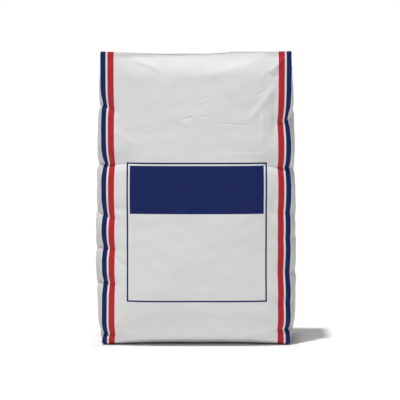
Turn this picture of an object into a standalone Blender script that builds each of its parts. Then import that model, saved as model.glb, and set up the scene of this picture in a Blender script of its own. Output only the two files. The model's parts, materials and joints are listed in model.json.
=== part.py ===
"""A filled cement bag that stands on its block bottom.

The bag is a pasted valve sack: a paper tube folded square at both ends, a cover
sheet glued over each end, a flat valve sleeve in one top corner, and the cement.
Metres, +Z up. The origin is on the floor under the middle of the bag, the printed
front faces -Y, and the valve is at +X.
"""

import math

import bmesh
import bpy

# The filled sack, from its lower folded edge to its upper one and crease to crease
BAG_HEIGHT = 0.600
FACE_WIDTH = 0.388
SIDE_WIDTH = 0.112

# How far the cement pushes the middle of a wide face and of a narrow side outwards
FACE_BULGE = 0.026
SIDE_BULGE = 0.015

# The bulge fades upwards as a power of the height to this share of it at the top
# edge, and it sets in above the base within a share of the height
LOAD_POWER = 2.5
TOP_LOAD = 0.15
LOAD_RISE = 0.06
# A wide face curves most next to its creases, a narrow side more evenly
FACE_POWER = 3.0
SIDE_POWER = 2.5

# The top has settled: how far its long edges and its middle hang below the corners
EDGE_SAG = 0.004
TOP_SAG = 0.004

# Paper and clearances
SACK_WALL = 0.0004
SHEET = 0.0004
GLUE_GAP = 0.0006
FILL_GAP = 0.0010
CREASE_RADIUS = 0.004
CREASE_STEPS = 2
CREASE_ANGLE = math.radians(28)

# Cover sheets
PATCH_LENGTH = 0.300
PATCH_WIDTH = 0.096

# Valve sleeve, a tube pressed flat, and the slot that it leaves the sack by
SLEEVE_LENGTH = 0.130
SLEEVE_WIDTH = 0.088
SLEEVE_THICKNESS = 0.0014
SLEEVE_DROP = 0.0065
SLEEVE_PROUD = 0.003
SLOT_MARGIN = 0.0006
HEADSPACE = 0.009

# How many strips each direction of the box is cut into
FACE_STRIPS = 12
SIDE_STRIPS = 6
ROWS = 16

SACK_BASE = SHEET + GLUE_GAP
PRINTED_WHITE = (0.78, 0.78, 0.77)
SHEET_WHITE = (0.72, 0.72, 0.70)
KRAFT_BROWN = (0.46, 0.31, 0.19)
CEMENT_GREY = (0.42, 0.42, 0.41)


def clear_scene():
    """Remove every object, so that the script can be run again."""
    for found in list(bpy.data.objects):
        bpy.data.objects.remove(found, do_unlink=True)


def new_collection(name):
    """A collection in the scene, emptied if it was there before."""
    old = bpy.data.collections.get(name)
    if old is not None:
        bpy.data.collections.remove(old)
    made = bpy.data.collections.new(name)
    bpy.context.scene.collection.children.link(made)
    return made


def plain_material(name, colour, roughness):
    """A Principled material of one colour."""
    made = bpy.data.materials.new(name)
    made.use_nodes = True
    shader = made.node_tree.nodes["Principled BSDF"]
    shader.inputs["Base Color"].default_value = (*colour, 1.0)
    shader.inputs["Roughness"].default_value = roughness
    shader.inputs["Metallic"].default_value = 0.0
    made.diffuse_color = (*colour, 1.0)
    return made


def load_share(height):
    """How much of the full bulge the cement gives the walls at this height."""
    share = min(max((height - SACK_BASE) / (BAG_HEIGHT - SACK_BASE), 0.0), 1.0)
    fade = 1.0 - (1.0 - TOP_LOAD) * share**LOAD_POWER
    return fade * (1.0 - math.exp(-share / LOAD_RISE))


def top_height(across, deep):
    """Height of the sack's top at a place given from -1 to 1 in both directions."""
    edge = EDGE_SAG * (1.0 - across**4)
    middle = TOP_SAG * (1.0 - across**2) * (1.0 - deep**2)
    return BAG_HEIGHT - edge - middle


def top_height_at(x, y):
    """Height of the sack's top at a point in metres."""
    return top_height(x / (FACE_WIDTH / 2), y / (SIDE_WIDTH / 2))


def even_cuts(count):
    """Where a span from -0.5 to 0.5 is cut into equal strips."""
    return [step / count - 0.5 for step in range(1, count)]


def crowded_cuts(count):
    """Where a span from -0.5 to 0.5 is cut into strips that crowd at both its ends."""
    return [-math.cos(math.pi * step / count) / 2 for step in range(1, count)]


def cut_box(cuts):
    """A unit box cut right through by planes, one list of places for each axis."""
    cage = bmesh.new()
    bmesh.ops.create_cube(cage, size=1.0)
    for axis, places in enumerate(cuts):
        normal = [float(axis == direction) for direction in range(3)]
        for place in places:
            bmesh.ops.bisect_plane(
                cage,
                geom=cage.verts[:] + cage.edges[:] + cage.faces[:],
                plane_co=[place * part for part in normal],
                plane_no=normal,
            )
    return cage


def add_object(cage, name, material, collection):
    """Turn an edit mesh into a named object with one material."""
    mesh = bpy.data.meshes.new(name)
    cage.to_mesh(mesh)
    cage.free()
    mesh.materials.append(material)
    made = bpy.data.objects.new(name, mesh)
    collection.objects.link(made)
    return made


def filled_form(name, margin, headspace, material, collection):
    """The bulging form of the filled sack, taken in by a margin on every side.

    The unit box is stretched to the flat-sided sack, and each of its points is
    then moved outwards by the share of the bulge that its height and place get.
    """
    cage = cut_box([even_cuts(FACE_STRIPS), even_cuts(SIDE_STRIPS), crowded_cuts(ROWS)])
    base = SACK_BASE + margin
    for vertex in cage.verts:
        across, deep, up = 2 * vertex.co.x, 2 * vertex.co.y, vertex.co.z + 0.5
        top = top_height(across, deep) - margin - headspace
        height = base + up * (top - base)
        load = load_share(height)
        side_bulge = SIDE_BULGE * load * (1.0 - abs(deep) ** SIDE_POWER)
        face_bulge = FACE_BULGE * load * (1.0 - abs(across) ** FACE_POWER)
        vertex.co.x = across * (FACE_WIDTH / 2 - margin + side_bulge)
        vertex.co.y = deep * (SIDE_WIDTH / 2 - margin + face_bulge)
        vertex.co.z = height
    made = add_object(cage, name, material, collection)
    round_creases(made)
    return made


def round_creases(made):
    """Round the folded edges of a form."""
    bevel = made.modifiers.new("rounded_creases", "BEVEL")
    bevel.limit_method = "ANGLE"
    bevel.angle_limit = CREASE_ANGLE
    bevel.width = CREASE_RADIUS
    bevel.segments = CREASE_STEPS


def smooth_shading(made):
    """Shade a form smooth, except at its folds."""
    made.data.shade_smooth()
    made.data.set_sharp_from_angle(angle=CREASE_ANGLE)


def build_slot_cutter(collection):
    """The box that cuts the valve's mouth through the sack's side wall at +X."""
    middle_x = FACE_WIDTH / 2
    cage = bmesh.new()
    bmesh.ops.create_cube(cage, size=1.0)
    for vertex in cage.verts:
        vertex.co.x = middle_x + vertex.co.x * 2 * CREASE_RADIUS
        vertex.co.y *= SLEEVE_WIDTH + 2 * SLOT_MARGIN
        vertex.co.z *= SLEEVE_THICKNESS + 2 * SLOT_MARGIN
        vertex.co.z += BAG_HEIGHT - SLEEVE_DROP
    mesh = bpy.data.meshes.new("valve_slot_cutter")
    cage.to_mesh(mesh)
    cage.free()
    cutter = bpy.data.objects.new("valve_slot_cutter", mesh)
    collection.objects.link(cutter)
    cutter.hide_render = True
    cutter.display_type = "WIRE"
    return cutter


def build_sack(collection, cutters, material):
    """The paper tube with its folded ends: a thin shell, open at the valve."""
    sack = filled_form("sack", 0.0, 0.0, material, collection)
    wall = sack.modifiers.new("paper_wall", "SOLIDIFY")
    wall.thickness = SACK_WALL
    wall.offset = -1.0
    wall.use_even_offset = True
    slot = sack.modifiers.new("valve_slot", "BOOLEAN")
    slot.operation = "DIFFERENCE"
    slot.solver = "EXACT"
    slot.object = build_slot_cutter(cutters)
    smooth_shading(sack)
    return sack


def build_cement(collection, material):
    """The powder, packed to the walls, with a little empty space under the top."""
    margin = SACK_WALL + FILL_GAP
    cement = filled_form("cement", margin, HEADSPACE, material, collection)
    smooth_shading(cement)
    return cement


def build_patch(name, height_at, material, collection):
    """A cover sheet glued to one end, laid to the height that a function gives."""
    cage = bmesh.new()
    bmesh.ops.create_grid(cage, x_segments=FACE_STRIPS, y_segments=SIDE_STRIPS, size=0.5)
    for vertex in cage.verts:
        vertex.co.x *= PATCH_LENGTH
        vertex.co.y *= PATCH_WIDTH
        vertex.co.z = height_at(vertex.co.x, vertex.co.y)
    patch = add_object(cage, name, material, collection)
    thickness = patch.modifiers.new("sheet", "SOLIDIFY")
    thickness.thickness = SHEET
    thickness.offset = 1.0
    return patch


def build_top_patch(collection, material):
    """The cover sheet on the folded top, following its sag."""
    return build_patch(
        "top_patch",
        lambda x, y: top_height_at(x, y) + GLUE_GAP,
        material,
        collection,
    )


def build_bottom_patch(collection, material):
    """The cover sheet on the folded bottom, flat on the floor."""
    return build_patch("bottom_patch", lambda x, y: 0.0, material, collection)


def build_valve_sleeve(collection, material):
    """A paper tube pressed flat, open at both ends, from the mouth into the sack."""
    cage = cut_box([even_cuts(FACE_STRIPS), even_cuts(SIDE_STRIPS), []])
    ends = [face for face in cage.faces if abs(face.normal.x) > 0.9]
    bmesh.ops.delete(cage, geom=ends, context="FACES")
    mouth_x = FACE_WIDTH / 2 + SLEEVE_PROUD
    for vertex in cage.verts:
        vertex.co.x = mouth_x + (vertex.co.x - 0.5) * SLEEVE_LENGTH
        vertex.co.y *= SLEEVE_WIDTH
        follow = top_height_at(min(vertex.co.x, FACE_WIDTH / 2), vertex.co.y)
        vertex.co.z = follow - SLEEVE_DROP + vertex.co.z * SLEEVE_THICKNESS
    sleeve = add_object(cage, "valve_sleeve", material, collection)
    wall = sleeve.modifiers.new("paper_wall", "SOLIDIFY")
    wall.thickness = SACK_WALL
    wall.offset = -1.0
    return sleeve


def main():
    """Build every piece of the bag."""
    clear_scene()
    bag = new_collection("cement_bag")
    cutters = new_collection("cutters")
    printed_paper = plain_material("printed_paper", PRINTED_WHITE, 0.45)
    sheet_paper = plain_material("sheet_paper", SHEET_WHITE, 0.7)
    kraft_paper = plain_material("kraft_paper", KRAFT_BROWN, 0.8)
    powder = plain_material("cement_powder", CEMENT_GREY, 0.95)
    build_sack(bag, cutters, printed_paper)
    build_top_patch(bag, sheet_paper)
    build_bottom_patch(bag, sheet_paper)
    build_valve_sleeve(bag, kraft_paper)
    build_cement(bag, powder)


main()
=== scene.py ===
"""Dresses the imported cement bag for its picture.

The frame gives the bag's solids. This script builds the paper over them: the printed
sack with its puckered creases, the folded and patched block ends, the glued back seam,
the valve sleeve and the powder inside. Then it sets up a plain studio.
Metres, +Z up. The printed front faces -Y and the valve is at +X.
"""

import json
import logging
import math
from collections.abc import Callable
from dataclasses import dataclass, field, replace
from enum import Enum
from typing import Any

import bpy
import numpy as np
from mathutils import Vector
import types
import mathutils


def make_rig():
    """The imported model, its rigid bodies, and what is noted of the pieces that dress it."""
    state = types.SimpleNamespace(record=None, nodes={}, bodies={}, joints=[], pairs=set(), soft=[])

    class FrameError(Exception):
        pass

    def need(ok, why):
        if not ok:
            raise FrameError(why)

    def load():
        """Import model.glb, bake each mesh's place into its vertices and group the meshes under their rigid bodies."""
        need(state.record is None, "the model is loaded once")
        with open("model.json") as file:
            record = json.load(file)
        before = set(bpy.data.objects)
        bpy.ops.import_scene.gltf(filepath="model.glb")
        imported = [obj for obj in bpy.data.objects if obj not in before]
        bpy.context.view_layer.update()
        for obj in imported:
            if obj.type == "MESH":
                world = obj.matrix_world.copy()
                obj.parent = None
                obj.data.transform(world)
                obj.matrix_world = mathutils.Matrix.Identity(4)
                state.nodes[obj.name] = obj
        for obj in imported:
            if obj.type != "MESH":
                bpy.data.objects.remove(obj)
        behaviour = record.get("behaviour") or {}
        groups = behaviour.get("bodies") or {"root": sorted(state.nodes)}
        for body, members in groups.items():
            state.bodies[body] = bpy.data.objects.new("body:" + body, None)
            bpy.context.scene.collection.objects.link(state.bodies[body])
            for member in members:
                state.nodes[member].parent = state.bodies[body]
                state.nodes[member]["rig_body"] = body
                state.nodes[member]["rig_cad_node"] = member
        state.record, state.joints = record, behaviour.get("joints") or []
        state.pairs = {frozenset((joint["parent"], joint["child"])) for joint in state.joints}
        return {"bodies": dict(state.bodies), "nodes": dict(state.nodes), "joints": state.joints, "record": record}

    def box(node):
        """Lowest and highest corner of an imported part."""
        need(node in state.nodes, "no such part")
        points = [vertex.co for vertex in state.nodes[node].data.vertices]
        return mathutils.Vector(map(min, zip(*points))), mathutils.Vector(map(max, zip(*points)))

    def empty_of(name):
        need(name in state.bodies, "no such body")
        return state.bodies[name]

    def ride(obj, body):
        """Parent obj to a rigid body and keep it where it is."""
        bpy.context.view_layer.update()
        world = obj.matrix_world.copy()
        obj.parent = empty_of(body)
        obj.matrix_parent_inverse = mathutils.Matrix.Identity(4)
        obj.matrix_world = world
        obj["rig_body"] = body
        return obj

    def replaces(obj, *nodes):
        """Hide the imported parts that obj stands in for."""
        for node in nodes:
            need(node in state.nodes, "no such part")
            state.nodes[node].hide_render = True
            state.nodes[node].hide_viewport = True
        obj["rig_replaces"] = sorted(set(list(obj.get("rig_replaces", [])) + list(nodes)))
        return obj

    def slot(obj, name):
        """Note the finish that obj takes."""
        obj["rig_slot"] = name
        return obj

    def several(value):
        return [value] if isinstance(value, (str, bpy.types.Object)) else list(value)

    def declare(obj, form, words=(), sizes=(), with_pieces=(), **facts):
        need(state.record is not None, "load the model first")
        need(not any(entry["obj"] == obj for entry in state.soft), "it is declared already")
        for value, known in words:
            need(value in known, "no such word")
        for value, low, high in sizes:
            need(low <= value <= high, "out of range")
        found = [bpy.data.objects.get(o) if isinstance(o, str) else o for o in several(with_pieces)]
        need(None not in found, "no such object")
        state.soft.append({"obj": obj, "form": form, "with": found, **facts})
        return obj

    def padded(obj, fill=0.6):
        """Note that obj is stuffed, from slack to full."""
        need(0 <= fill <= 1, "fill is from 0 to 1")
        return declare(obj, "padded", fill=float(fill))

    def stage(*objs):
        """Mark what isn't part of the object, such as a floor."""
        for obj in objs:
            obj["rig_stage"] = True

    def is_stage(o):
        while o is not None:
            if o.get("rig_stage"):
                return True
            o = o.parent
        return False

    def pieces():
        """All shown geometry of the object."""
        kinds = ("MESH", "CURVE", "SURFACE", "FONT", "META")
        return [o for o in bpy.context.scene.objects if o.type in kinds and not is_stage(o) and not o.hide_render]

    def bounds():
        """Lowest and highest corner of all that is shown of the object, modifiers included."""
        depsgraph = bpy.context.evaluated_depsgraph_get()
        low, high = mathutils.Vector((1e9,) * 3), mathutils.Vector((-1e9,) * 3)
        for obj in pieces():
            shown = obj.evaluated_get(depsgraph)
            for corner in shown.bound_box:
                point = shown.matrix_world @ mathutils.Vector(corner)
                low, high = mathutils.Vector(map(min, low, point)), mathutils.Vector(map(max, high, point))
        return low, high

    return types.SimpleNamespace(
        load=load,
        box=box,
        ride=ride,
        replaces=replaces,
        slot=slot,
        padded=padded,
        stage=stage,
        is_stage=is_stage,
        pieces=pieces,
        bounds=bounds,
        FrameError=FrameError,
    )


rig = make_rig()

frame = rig.load()
CAD_LOW, CAD_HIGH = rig.bounds()

LOG = logging.getLogger("cement_bag")
ROOT = "root"
Colour = tuple[float, float, float, float]
Range = tuple[float, float]
FaceTest = Callable[[bpy.types.MeshPolygon], bool]

# The UV map that holds every face's place on the flat sheet, and half the sheet's girth
PAPER_MAP = "paper"
GIRTH_HALF = 0.5
# The working attributes that hold every point's place on the block, and how closely
# two places agree to count as one
PLACE_NAMES = ("across", "deep", "up")
SAME_PLACE = 1e-4


# Places on the bag


class Wall(Enum):
    """The six walls of the block, as the axis and direction that each one faces."""

    FRONT = (1, -1)
    BACK = (1, 1)
    LEFT = (0, -1)
    RIGHT = (0, 1)
    BOTTOM = (2, -1)
    TOP = (2, 1)

    @property
    def outward(self) -> np.ndarray:
        """The direction that the wall faces.

        Returns:
            A direction of unit length.
        """
        axis, side = self.value
        direction = np.zeros(3)
        direction[axis] = side
        return direction


class Corner(Enum):
    """The four upright creases, as the sides of X and Y that they stand on."""

    FRONT_LEFT = (-1, -1)
    FRONT_RIGHT = (1, -1)
    BACK_LEFT = (-1, 1)
    BACK_RIGHT = (1, 1)


@dataclass(frozen=True)
class Places:
    """Where every point of a mesh lies on the block, before any bulge.

    Attributes:
        across: From -1 at the left creases to 1 at the right ones.
        deep: From -1 on the front to 1 on the back.
        up: From 0 at the lower folded edge to 1 at the upper one.
    """

    across: np.ndarray
    deep: np.ndarray
    up: np.ndarray

    def on(self, wall: Wall) -> np.ndarray:
        """Tell which points lie on a wall.

        Args:
            wall: The wall that is asked about.

        Returns:
            A mask with one entry for each point.
        """
        return self._towards(wall) > 1 - SAME_PLACE

    def by(self, wall: Wall, share: float) -> np.ndarray:
        """Fade from 1 on a wall to 0 at a share of the way to the block's middle."""
        return smooth_step(self._towards(wall), 1 - share, 1)

    def _towards(self, wall: Wall) -> np.ndarray:
        """Tell how far points lie towards a wall, from 0 in the middle to 1 on it."""
        axis, side = wall.value
        return (self.across, self.deep, 2 * self.up - 1)[axis] * side


def smooth_step(value: np.ndarray, low: float, high: float) -> np.ndarray:
    """Rise smoothly from 0 to 1 between two values.

    Args:
        value: What is looked at.
        low: Where the rise starts.
        high: Where the rise ends.

    Returns:
        The share of the rise at each value.
    """
    share = np.clip((value - low) / (high - low), 0.0, 1.0)
    return share * share * (3 - 2 * share)


@dataclass(frozen=True)
class FilledForm:
    """The form that the cement presses the block into.

    Attributes:
        base: Height of the sack's lower edge.
        height: Height of its upper edge.
        half_face: Half the width of a wide face, crease to crease.
        half_side: Half the width of a narrow side.
        face_bulge: How far the cement pushes the middle of a wide face out.
        side_bulge: The same for a narrow side.
        pull_in: How far the narrow sides stay back from that.
        load_power: Power of the height by which the bulge fades upwards.
        top_load: Share of the bulge that is left at the top.
        load_rise: Share of the height within which the bulge sets in.
        face_power: How squarely a wide face stands out from its creases.
        side_power: The same for a narrow side.
        edge_sag: How far the long edges of the top hang below its corners.
        top_sag: How far its middle hangs below the edges.
        edge_power: How squarely the long edges hang from the corners.
        sag_power: Power of the height by which the sag fades downwards.
        back_drop: How far its back edge lies below its front one.
        edge_lift: How far the long edges of the base curl up off the floor.
        lift_power: How squarely that fades towards the creases and the middle.
        heel: Radius by which the long edges of the base are rounded.
        load_steps: Heights at which the largest bulge is looked for.
    """

    base: float
    height: float
    half_face: float
    half_side: float
    face_bulge: float = 0.026
    side_bulge: float = 0.015
    pull_in: float = 0.0016
    load_power: float = 2.5
    top_load: float = 0.15
    load_rise: float = 0.06
    face_power: float = 3.0
    side_power: float = 2.5
    edge_sag: float = 0.0025
    top_sag: float = 0.004
    edge_power: int = 4
    sag_power: int = 8
    back_drop: float = 0.0018
    edge_lift: float = 0.007
    lift_power: int = 3
    heel: float = 0.005
    load_steps: int = 200

    @classmethod
    def from_frame(cls) -> "FilledForm":
        """Read the sack's size from the frame.

        Returns:
            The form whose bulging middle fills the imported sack's box.
        """
        low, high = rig.box("sack")
        box = cls(low.z, high.z, high.x, high.y)
        peak = float(box.load(np.linspace(0, 1, box.load_steps)).max())
        half_face = high.x - box.side_bulge * peak
        return replace(box, half_face=half_face, half_side=high.y - box.face_bulge * peak)

    def load(self, up: np.ndarray) -> np.ndarray:
        """How much of the full bulge the cement gives at a share of the height."""
        fade = 1.0 - (1.0 - self.top_load) * up**self.load_power
        return fade * (1.0 - np.exp(-up / self.load_rise))

    def sag(self, across: np.ndarray, deep: np.ndarray) -> np.ndarray:
        """How far the top hangs below its corners."""
        edge = self.edge_sag * (1 - across**self.edge_power)
        return edge + self.top_sag * (1 - across**2) * (1 - deep**2)

    def points(self, places: Places) -> np.ndarray:
        """Put every point of a mesh on the filled form.

        Args:
            places: Where the points lie on the block.

        Returns:
            Their positions, one row for each point.
        """
        across, deep, up = places.across, places.deep, places.up
        load = self.load(up)
        round_side = 1.0 - np.abs(deep) ** self.side_power
        round_face = 1.0 - np.abs(across) ** self.face_power
        tuck = self.heel * np.clip(1 - up * self.height / self.heel, 0, 1) ** 2
        side_bulge = self.side_bulge - self.pull_in
        x = across * (self.half_face + side_bulge * load * round_side)
        y = deep * (self.half_side - tuck + self.face_bulge * load * round_face)
        sag = self.sag(across, deep) + self.back_drop * (1 + deep) / 2
        lift = 1 - np.abs(across) ** self.lift_power
        lift = self.edge_lift * lift * np.abs(deep) ** self.lift_power
        lift = lift * np.exp(-up / self.load_rise)
        z = self.base + up * (self.height - self.base) - sag * up**self.sag_power + lift
        return np.stack([x, y, z], axis=1)


# Creases and folds

# The sharp fold at the bottom of a pinch: how far it goes in along both walls and down
# for each metre of its depth, and the power by which it fades
NICK_INWARDS = 0.7
NICK_DOWN = 0.5
NICK_POWER = 1.3
# Share of a pinch's depth below which a point is no longer near it
NEAR_SHARE = 0.05


@dataclass(frozen=True)
class Pucker:
    """A pinch where an upright crease buckles inwards.

    Attributes:
        corner: The crease.
        height: Height of the pinch on the crease.
        sideways: How far it goes in along the wide face.
        inwards: How far it goes in along the narrow side.
        above: Length over which it opens out above the pinch.
        below: The same below it.
        sharpness: How sharply the crease is bent at the pinch.
        face_reach: How far its valley runs over the wide face.
        side_reach: How far it runs over the narrow side.
        face_slant: How the valley climbs over the wide face, as a slope.
        nick: How far the fold at the bottom of the pinch is pressed in further.
        lip: Height above the fold over which that fades.
        ledge: The same below it.
    """

    corner: Corner
    height: float
    sideways: float
    inwards: float
    above: float = 0.045
    below: float = 0.045
    sharpness: float = 2.4
    face_reach: float = 0.044
    side_reach: float = 0.050
    face_slant: float = 0.0
    nick: float = 0.0016
    lip: float = 0.0060
    ledge: float = 0.0028

    def moves(self, places: Places, form: FilledForm) -> np.ndarray:
        """How the pinch moves every point.

        Args:
            places: Where the points lie on the block.
            form: The form, for its widths.

        Returns:
            One move for each point.
        """
        rise, fade = self._valley(places, form)
        length = np.where(rise > 0, self.above, self.below)
        amount = fade * np.clip(1 - np.abs(rise) / length, 0, 1) ** self.sharpness
        side_x, side_y = self.corner.value
        way = np.array([-side_x * self.sideways, -side_y * self.inwards, 0])
        return amount[:, None] * way

    def nicks(self, places: Places, form: FilledForm) -> np.ndarray:
        """How the sharp fold at the bottom of the pinch moves every point.

        Args:
            places: Where the points lie on the block.
            form: The form, for its widths.

        Returns:
            One move for each point.
        """
        rise, fade = self._valley(places, form)
        length = np.where(rise > 0, self.lip, self.ledge)
        amount = fade * np.exp(-((np.abs(rise) / length) ** NICK_POWER))
        side_x, side_y = self.corner.value
        way = np.array([-NICK_INWARDS * side_x, -NICK_INWARDS * side_y, -NICK_DOWN])
        return self.nick * amount[:, None] * way

    def near(self, places: Places, form: FilledForm, height: float) -> np.ndarray:
        """Tell which points lie within a height of the bottom of the pinch."""
        rise, fade = self._valley(places, form)
        return (np.abs(rise) < height) & (fade > NEAR_SHARE)

    def _valley(self, places: Places, form: FilledForm) -> tuple[np.ndarray, np.ndarray]:
        """Place every point in the pinch's valley.

        Args:
            places: Where the points lie on the block.
            form: The form, for its widths.

        Returns:
            Their heights over the valley's line, and the share of its depth at each.
        """
        side_x, side_y = self.corner.value
        here = (places.across * side_x > 0) & (places.deep * side_y > 0)
        over_face = (1 - np.abs(places.across)) * form.half_face
        over_side = (1 - np.abs(places.deep)) * form.half_side
        fade = self._fade(over_face, self.face_reach) * self._fade(over_side, self.side_reach)
        line = self.height + self.face_slant * over_face
        return places.up * form.height - line, fade * here

    def _fade(self, distance: np.ndarray, reach: float) -> np.ndarray:
        """Fade from 1 at the crease to 0 at a reach, flat at both ends."""
        return (1 - np.clip(distance / reach, 0, 1) ** 2) ** 2


@dataclass(frozen=True)
class Fold:
    """A ridge, or with a negative height a valley, along a line on one wall.

    Attributes:
        wall: The wall.
        start: One end, as the two coordinates that run along the wall.
        end: The other end.
        height: How far the fold stands out in its middle.
        left: Width of its slope on the left of the way from start to end.
        right: Width of its slope on the right of that way.
        bow: How far the line bows to its left in the middle.
        taper: Share of its length over which either end fades.
        crest: How round its crest is, from 1 for a crisp crease to 2 for a soft roll.
        depth: How far past the wall's edges it reaches round them.
        fine: Whether the mesh is divided once more along it.
    """

    wall: Wall
    start: tuple[float, float]
    end: tuple[float, float]
    height: float
    left: float = 0.012
    right: float = 0.012
    bow: float = 0.0
    taper: float = 0.35
    crest: float = 1.3
    depth: float = 0.020
    fine: bool = False

    def moves(self, points: np.ndarray, places: Places, form: FilledForm) -> np.ndarray:
        """How the fold moves every point.

        Args:
            points: Positions of the points.
            places: Where they lie on the block.
            form: The form, for its widths.

        Returns:
            One move for each point.
        """
        axis, _ = self.wall.value
        share, aside = self._along(points)
        width = np.where(aside > 0, self.left, self.right)
        slope = (1 - np.clip(np.abs(aside) / width, 0, 1) ** self.crest) ** 2
        ends = smooth_step(share, 0, self.taper) * smooth_step(1 - share, 0, self.taper)
        half = (form.half_face, form.half_side, form.height / 2)[axis]
        amount = self.height * slope * ends * places.by(self.wall, self.depth / half)
        return amount[:, None] * self.wall.outward

    def near(self, points: np.ndarray, places: Places, distance: float) -> np.ndarray:
        """Tell which points of the wall lie within a distance of the line."""
        share, aside = self._along(points)
        return places.on(self.wall) & (np.abs(aside) < distance) & (np.abs(share - 0.5) < 0.5)

    def _along(self, points: np.ndarray) -> tuple[np.ndarray, np.ndarray]:
        """Place every point beside the fold's line.

        Args:
            points: Positions of the points.

        Returns:
            Their shares of the way from start to end, and their distances to its left.
        """
        axis, _ = self.wall.value
        plane = points[:, [index for index in range(3) if index != axis]]
        start, end = np.array(self.start), np.array(self.end)
        way = end - start
        length = float(np.hypot(*way))
        way = way / length
        share = (plane - start) @ way / length
        aside = (plane - start) @ np.array([-way[1], way[0]])
        return share, aside - self.bow * 4 * share * (1 - share)


@dataclass(frozen=True)
class Undulation:
    """Soft unevenness of the filling, as a sum of random waves.

    Attributes:
        height: Height of the unevenness.
        length: Typical distance from one rise to the next.
        seed: Start of the random draws.
        waves: How many waves are added up.
        spread: Shortest and longest wave, as shares of the typical distance.
    """

    height: float
    length: float
    seed: int
    waves: int = 14
    spread: Range = (0.6, 1.7)

    def amounts(self, points: np.ndarray) -> np.ndarray:
        """Work out the unevenness.

        Args:
            points: Positions of the points.

        Returns:
            How far it moves each point outwards.
        """
        draws = np.random.default_rng(self.seed)
        total = np.zeros(len(points))
        for _ in range(self.waves):
            way = draws.normal(size=3)
            way = way / np.linalg.norm(way)
            number = 2 * math.pi / (self.length * draws.uniform(*self.spread))
            total += np.sin(points @ way * number + draws.uniform(0, 2 * math.pi))
        return self.height * total / math.sqrt(self.waves)


@dataclass(frozen=True)
class PaperTension:
    """Lets the sack's walls buckle as paper does, which bends but hardly stretches.

    A bulging wall takes more length up its middle than along its creases. The sheet
    has the same length everywhere, so what is left over at the creases folds in.

    Attributes:
        steps: Steps of the relaxation.
        pace: How far each step follows the forces.
        glide: How much of a step carries on into the next.
        stretch: Stiffness against stretching along the cells.
        shear: The same along their diagonals.
        bend: Stiffness against bending.
        hinge: Share of that stiffness that is left at a crease.
        fill_in: How strongly the cement holds the paper out.
        fill_out: How strongly the paper is held against the cement.
        keep: How strongly the paper keeps its place along the wall.
        slack: Length of the sheet as a share of the longest line up the form.
    """

    steps: int = 260
    pace: float = 0.09
    glide: float = 0.975
    stretch: float = 1.0
    shear: float = 0.5
    bend: float = 0.008
    hinge: float = 0.15
    fill_in: float = 0.06
    fill_out: float = 0.06
    keep: float = 0.01
    slack: float = 1.004

    def relax(self, flat: np.ndarray, start: np.ndarray, creases: list[int]) -> np.ndarray:
        """Let the tube of paper settle.

        Args:
            flat: Points of the form without its pinches, as rows by places round
                the tube by axes.
            start: The same points with the pinches pressed in.
            creases: The places round the tube where the creases are.

        Returns:
            The settled points.
        """
        outward = self._outward(flat)
        around = np.linalg.norm(np.roll(flat, -1, 1) - flat, axis=2)
        upward = np.linalg.norm(flat[1:] - flat[:-1], axis=2)
        length = upward.sum(axis=0)
        spare = self.slack * length.max() - length
        upward = upward + spare[None, :] / len(upward)
        across_cell = (around[1:] + around[:-1]) / 2
        along_cell = (upward + np.roll(upward, -1, 1)) / 2
        slant = np.hypot(across_cell, along_cell)
        hinge = np.ones(flat.shape[1])
        hinge[creases] = self.hinge
        points = start.copy()
        speed = np.zeros_like(points)
        for _ in range(self.steps):
            force = self._tension(points, around, upward, slant)
            off = points - start
            force -= self.bend * self._bending(points - flat, hinge)
            depth = (off * outward).sum(axis=2)
            hold = np.where(depth < 0, self.fill_in, self.fill_out) * depth
            force -= hold[:, :, None] * outward + self.keep * off
            force[0] = force[-1] = 0
            speed = self.glide * speed + self.pace * force
            points += speed
        return points

    def _tension(
        self, points: np.ndarray, around: np.ndarray, upward: np.ndarray, slant: np.ndarray
    ) -> np.ndarray:
        """Forces of the sheet against being stretched or sheared.

        Args:
            points: The points, as rows by places round the tube by axes.
            around: Rest lengths of the cells round the tube.
            upward: Their rest lengths up the tube.
            slant: Their rest lengths along the diagonals.

        Returns:
            One force for each point.
        """
        force = np.zeros_like(points)
        beside = np.roll(points, -1, 1)
        pull = self._pull(beside - points, around, self.stretch)
        force += pull - np.roll(pull, 1, 1)
        pull = self._pull(points[1:] - points[:-1], upward, self.stretch)
        force[:-1] += pull
        force[1:] -= pull
        pull = self._pull(beside[1:] - points[:-1], slant, self.shear)
        force[:-1] += pull
        force[1:] -= np.roll(pull, 1, 1)
        pull = self._pull(points[1:] - beside[:-1], slant, self.shear)
        force[:-1] += np.roll(pull, 1, 1)
        force[1:] -= pull
        return force

    def _pull(self, way: np.ndarray, rest: np.ndarray, stiffness: float) -> np.ndarray:
        """Pull of a row of springs towards their far ends."""
        length = np.sqrt((way * way).sum(axis=2))
        return (stiffness * (1 - rest / length))[:, :, None] * way

    def _bending(self, off: np.ndarray, hinge: np.ndarray) -> np.ndarray:
        """Forces against a change of curvature, up the sheet and round it.

        Args:
            off: How far every point is from its place on the form.
            hinge: Stiffness at each place round the tube.

        Returns:
            One force for each point.
        """
        up = off[2:] - 2 * off[1:-1] + off[:-2]
        force = np.zeros_like(off)
        force[2:] += up
        force[:-2] += up
        force[1:-1] -= 2 * up
        turn = np.roll(off, -1, 1) - 2 * off + np.roll(off, 1, 1)
        turn = turn * hinge[None, :, None]
        force += np.roll(turn, 1, 1) + np.roll(turn, -1, 1) - 2 * turn
        return force

    def _outward(self, points: np.ndarray) -> np.ndarray:
        """Find the directions that the wall faces.

        Args:
            points: The points, as rows by places round the tube by axes.

        Returns:
            One direction of unit length for each point.
        """
        round_way = np.roll(points, -1, 1) - np.roll(points, 1, 1)
        up_way = np.gradient(points, axis=0)
        facing = np.cross(round_way, up_way)
        return facing / np.linalg.norm(facing, axis=2, keepdims=True)


# Shader nodes


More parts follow.
